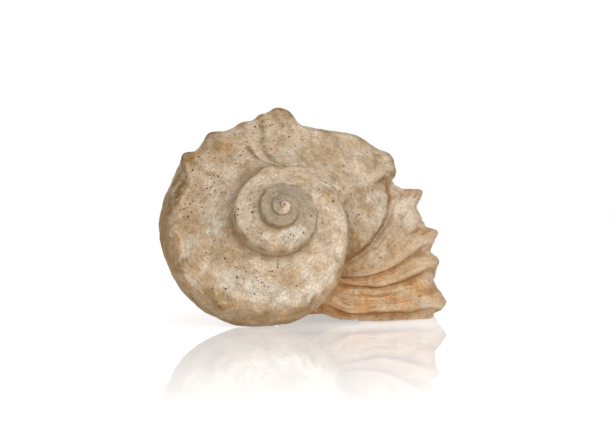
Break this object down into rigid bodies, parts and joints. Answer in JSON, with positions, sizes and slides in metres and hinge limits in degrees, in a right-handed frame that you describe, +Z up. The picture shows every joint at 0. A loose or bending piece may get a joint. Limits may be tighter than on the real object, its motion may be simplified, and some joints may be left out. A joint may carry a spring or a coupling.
{
  "type": "rapa whelk shell",
  "caption": "Bleached rapa whelk shell with a low spire, blunt shoulder nodules, a flared scaly lip and an open mouth, resting on its aperture.",
  "frame": {"origin": "centre of the shell's bounding box, on the surface it rests on", "axes": "+Z up, -Y towards the spire tip, +Y towards the canal, +X towards the flared lip"},
  "size_m": [0.0948, 0.0918, 0.0703],
  "materials": {
    "shell": "bleached, worn and chalky, with peach folds at the lip"
  },
  "bodies": {
    "root": {"shell": "shell"}
  },
  "joints": []
}
